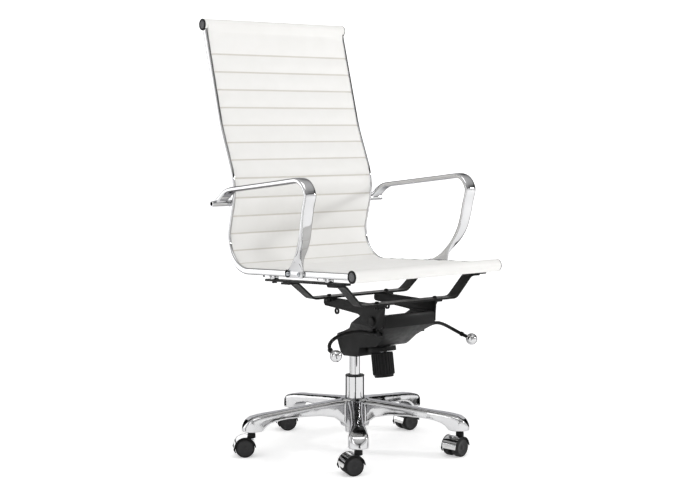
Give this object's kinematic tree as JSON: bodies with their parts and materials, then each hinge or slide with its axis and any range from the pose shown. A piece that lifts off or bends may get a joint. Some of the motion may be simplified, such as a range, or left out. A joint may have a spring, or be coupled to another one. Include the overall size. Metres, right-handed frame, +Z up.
{
  "type": "swivel office chair",
  "caption": "High-back swivel office chair with a ribbed white leather sling, chrome frame and arms, tilt mechanism, gas column and cast star base on twin-wheel casters.",
  "frame": {"origin": "on the floor, on the axis of the gas column", "axes": "+Z up along the column, -Y the way the sitter faces, +X the sitter's left"},
  "size_m": [0.6193, 0.6925, 1.143],
  "materials": {
    "white_leather": "white coated leather, fine grain, satin",
    "chrome_steel": "bright chrome plate on steel",
    "cast_base": "polished die-cast aluminium",
    "bright_steel": "zinc plated",
    "black_steel": "black powder coat, semi-matt",
    "black_plastic": "moulded black, fine texture",
    "cap_plastic": "moulded dark grey",
    "caster_chrome": "bright plate on moulded nylon",
    "caster_plastic": "moulded nylon, black"
  },
  "bodies": {
    "base": {"star_base": "cast_base", "column_tube": "chrome_steel", "guide_bush": "black_plastic"},
    "spindle": {"piston_rod": "bright_steel", "thrust_bearing": "bright_steel", "retaining_clip": "bright_steel"},
    "lift": {"gas_cylinder": "chrome_steel", "tilt_housing": "black_steel", "pivot_shaft": "black_steel", "tilt_spring": "bright_steel"},
    "valve": {"valve_pin": "bright_steel"},
    "tension": {"tension_knob": "black_plastic", "tension_bolt": "bright_steel"},
    "height_control": {"height_lever": "black_steel", "height_ball": "chrome_steel"},
    "lock_control": {"lock_lever": "black_steel", "lock_ball": "chrome_steel"},
    "seat": {"plate_left": "black_steel", "plate_right": "black_steel", "front_strap": "black_steel", "rear_strap": "black_steel", "side_bar_left": "black_steel", "side_bar_right": "black_steel", "rail_tabs": "chrome_steel", "seat_bolts": "black_steel", "rail_left": "chrome_steel", "rail_right": "chrome_steel", "front_tube": "bright_steel", "top_tube": "bright_steel", "end_caps": "cap_plastic", "cross_tube": "chrome_steel", "arm_left": "chrome_steel", "arm_right": "chrome_steel", "arm_screws": "bright_steel", "sling": "white_leather"},
    "caster_1": {"caster_1_hood": "caster_chrome", "caster_1_stem": "black_steel", "caster_1_axle": "bright_steel"},
    "wheel_1_left": {"caster_1_wheel_left": "caster_plastic"},
    "wheel_1_right": {"caster_1_wheel_right": "caster_plastic"},
    "caster_2": {"caster_2_hood": "caster_chrome", "caster_2_stem": "black_steel", "caster_2_axle": "bright_steel"},
    "wheel_2_left": {"caster_2_wheel_left": "caster_plastic"},
    "wheel_2_right": {"caster_2_wheel_right": "caster_plastic"},
    "caster_3": {"caster_3_hood": "caster_chrome", "caster_3_stem": "black_steel", "caster_3_axle": "bright_steel"},
    "wheel_3_left": {"caster_3_wheel_left": "caster_plastic"},
    "wheel_3_right": {"caster_3_wheel_right": "caster_plastic"},
    "caster_4": {"caster_4_hood": "caster_chrome", "caster_4_stem": "black_steel", "caster_4_axle": "bright_steel"},
    "wheel_4_left": {"caster_4_wheel_left": "caster_plastic"},
    "wheel_4_right": {"caster_4_wheel_right": "caster_plastic"},
    "caster_5": {"caster_5_hood": "caster_chrome", "caster_5_stem": "black_steel", "caster_5_axle": "bright_steel"},
    "wheel_5_left": {"caster_5_wheel_left": "caster_plastic"},
    "wheel_5_right": {"caster_5_wheel_right": "caster_plastic"}
  },
  "joints": [
    {"name": "swivel", "type": "hinge", "parent": "base", "child": "spindle", "pos_m": [0, 0, 0.05], "axis": [0, 0, 1], "continuous": true},
    {"name": "height", "type": "slide", "parent": "spindle", "child": "lift", "axis": [0, 0, 1], "range_m": [-0.043, 0.038]},
    {"name": "tilt", "type": "hinge", "parent": "lift", "child": "seat", "pos_m": [0, -0.181, 0.366], "axis": [-1, 0, 0], "range_deg": [0, 15], "stiffness_Nm_per_rad": 130, "springref_deg": -20.05},
    {"name": "tension_turn", "type": "hinge", "parent": "lift", "child": "tension", "pos_m": [0, -0.114, 0.271], "axis": [0, 0.1564, 0.9877], "range_deg": [0, 1440]},
    {"name": "height_lift", "type": "hinge", "parent": "lift", "child": "height_control", "pos_m": [-0.07, -0.18, 0.337], "axis": [0, 1, 0], "range_deg": [0, 8], "stiffness_Nm_per_rad": 3, "springref_deg": -8.59},
    {"name": "valve_press", "type": "slide", "parent": "lift", "child": "valve", "axis": [0, 0, -1], "range_m": [0, 0.003]},
    {"name": "lock_turn", "type": "hinge", "parent": "lift", "child": "lock_control", "pos_m": [0.07, -0.18, 0.337], "axis": [0, 1, 0], "range_deg": [0, 12]},
    {"name": "caster_1_swivel", "type": "hinge", "parent": "base", "child": "caster_1", "pos_m": [-0.16752, -0.23057, 0.07], "axis": [0, 0, 1], "continuous": true},
    {"name": "wheel_1_left_roll", "type": "hinge", "parent": "caster_1", "child": "wheel_1_left", "pos_m": [-0.18464, -0.22501, 0.025], "axis": [-0.309, -0.9511, 0], "continuous": true},
    {"name": "wheel_1_right_roll", "type": "hinge", "parent": "caster_1", "child": "wheel_1_right", "pos_m": [-0.18464, -0.22501, 0.025], "axis": [-0.309, -0.9511, 0], "continuous": true},
    {"name": "caster_2_swivel", "type": "hinge", "parent": "base", "child": "caster_2", "pos_m": [0.16752, -0.23057, 0.07], "axis": [0, 0, 1], "continuous": true},
    {"name": "wheel_2_left_roll", "type": "hinge", "parent": "caster_2", "child": "wheel_2_left", "pos_m": [0.14979, -0.2337, 0.025], "axis": [0.1736, -0.9848, 0], "continuous": true},
    {"name": "wheel_2_right_roll", "type": "hinge", "parent": "caster_2", "child": "wheel_2_right", "pos_m": [0.14979, -0.2337, 0.025], "axis": [0.1736, -0.9848, 0], "continuous": true},
    {"name": "caster_3_swivel", "type": "hinge", "parent": "base", "child": "caster_3", "pos_m": [-0.27105, 0.08807, 0.07], "axis": [0, 0, 1], "continuous": true},
    {"name": "wheel_3_left_roll", "type": "hinge", "parent": "caster_3", "child": "wheel_3_left", "pos_m": [-0.28664, 0.09707, 0.025], "axis": [-0.5, -0.866, 0], "continuous": true},
    {"name": "wheel_3_right_roll", "type": "hinge", "parent": "caster_3", "child": "wheel_3_right", "pos_m": [-0.28664, 0.09707, 0.025], "axis": [-0.5, -0.866, 0], "continuous": true},
    {"name": "caster_4_swivel", "type": "hinge", "parent": "base", "child": "caster_4", "pos_m": [0.27105, 0.08807, 0.07], "axis": [0, 0, 1], "continuous": true},
    {"name": "wheel_4_left_roll", "type": "hinge", "parent": "caster_4", "child": "wheel_4_left", "pos_m": [0.25308, 0.08901, 0.025], "axis": [-0.0523, -0.9986, 0], "continuous": true},
    {"name": "wheel_4_right_roll", "type": "hinge", "parent": "caster_4", "child": "wheel_4_right", "pos_m": [0.25308, 0.08901, 0.025], "axis": [-0.0523, -0.9986, 0], "continuous": true},
    {"name": "caster_5_swivel", "type": "hinge", "parent": "base", "child": "caster_5", "pos_m": [0, 0.285, 0.07], "axis": [0, 0, 1], "continuous": true},
    {"name": "wheel_5_left_roll", "type": "hinge", "parent": "caster_5", "child": "wheel_5_left", "pos_m": [-0.01631, 0.29261, 0.025], "axis": [-0.4226, -0.9063, 0], "continuous": true},
    {"name": "wheel_5_right_roll", "type": "hinge", "parent": "caster_5", "child": "wheel_5_right", "pos_m": [-0.01631, 0.29261, 0.025], "axis": [-0.4226, -0.9063, 0], "continuous": true}
  ],
  "couplings": [
    {"joint": "valve_press", "follows": "height_lift", "m_per_rad": 0.021486}
  ]
}
